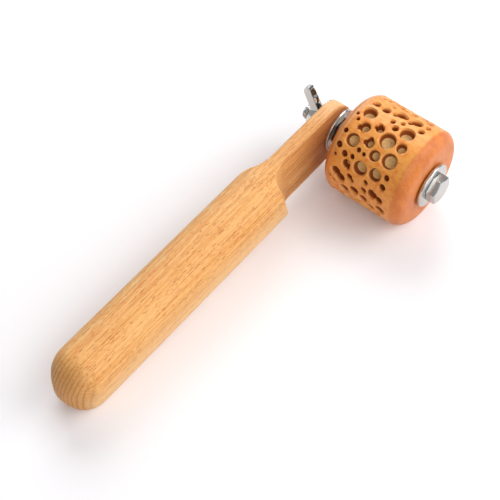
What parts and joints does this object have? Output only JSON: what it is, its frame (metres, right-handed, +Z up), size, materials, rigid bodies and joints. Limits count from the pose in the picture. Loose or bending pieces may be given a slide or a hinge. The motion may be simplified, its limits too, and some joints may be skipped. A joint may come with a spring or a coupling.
{
  "type": "clay texture wheel",
  "caption": "Hand tool for clay: a pitted wooden roller turns on a bolt that a wing nut clamps in the flat neck of a straight wooden handle.",
  "frame": {"origin": "middle of the underside of the whole tool as it lies on a table, on the roller's lowest line and the underside of the butt", "axes": "+Z up, +Y from the butt towards the roller's end, +X along the bolt from the wing nut to the bolt head"},
  "size_m": [0.064, 0.171, 0.0399],
  "materials": {
    "beech": "smooth, light beech with a satin finish",
    "roller_wood": "smooth, oiled orange-brown",
    "bright_steel": "bright plated",
    "plated_casting": "bright plated casting"
  },
  "bodies": {
    "tool_body": {"handle": "beech", "bolt": "bright_steel", "thin_nut": "bright_steel", "inner_washer": "bright_steel"},
    "roller_body": {"roller": "roller_wood"},
    "front_washer_body": {"front_washer": "bright_steel"},
    "back_washer_body": {"back_washer": "bright_steel"},
    "outer_washer_body": {"outer_washer": "bright_steel"},
    "wing_nut_body": {"wing_nut": "plated_casting"}
  },
  "joints": [
    {"name": "roller_spin", "type": "hinge", "parent": "tool_body", "child": "roller_body", "pos_m": [0.008, 0.06556, 0.01997], "axis": [1, 0, 0], "continuous": true},
    {"name": "front_washer_spin", "type": "hinge", "parent": "tool_body", "child": "front_washer_body", "pos_m": [0.0274, 0.06556, 0.01997], "axis": [1, 0, 0], "continuous": true},
    {"name": "back_washer_spin", "type": "hinge", "parent": "tool_body", "child": "back_washer_body", "pos_m": [-0.0107, 0.06556, 0.01997], "axis": [1, 0, 0], "continuous": true},
    {"name": "wing_nut_travel", "type": "slide", "parent": "tool_body", "child": "outer_washer_body", "axis": [-1, 0, 0], "range_m": [0, 0.004]},
    {"name": "wing_nut_turn", "type": "hinge", "parent": "outer_washer_body", "child": "wing_nut_body", "pos_m": [-0.026, 0.06556, 0.01997], "axis": [-1, 0, 0], "range_deg": [0, 1440]}
  ],
  "couplings": [
    {"joint": "wing_nut_travel", "follows": "wing_nut_turn", "m_per_rad": 0.00015915}
  ]
}
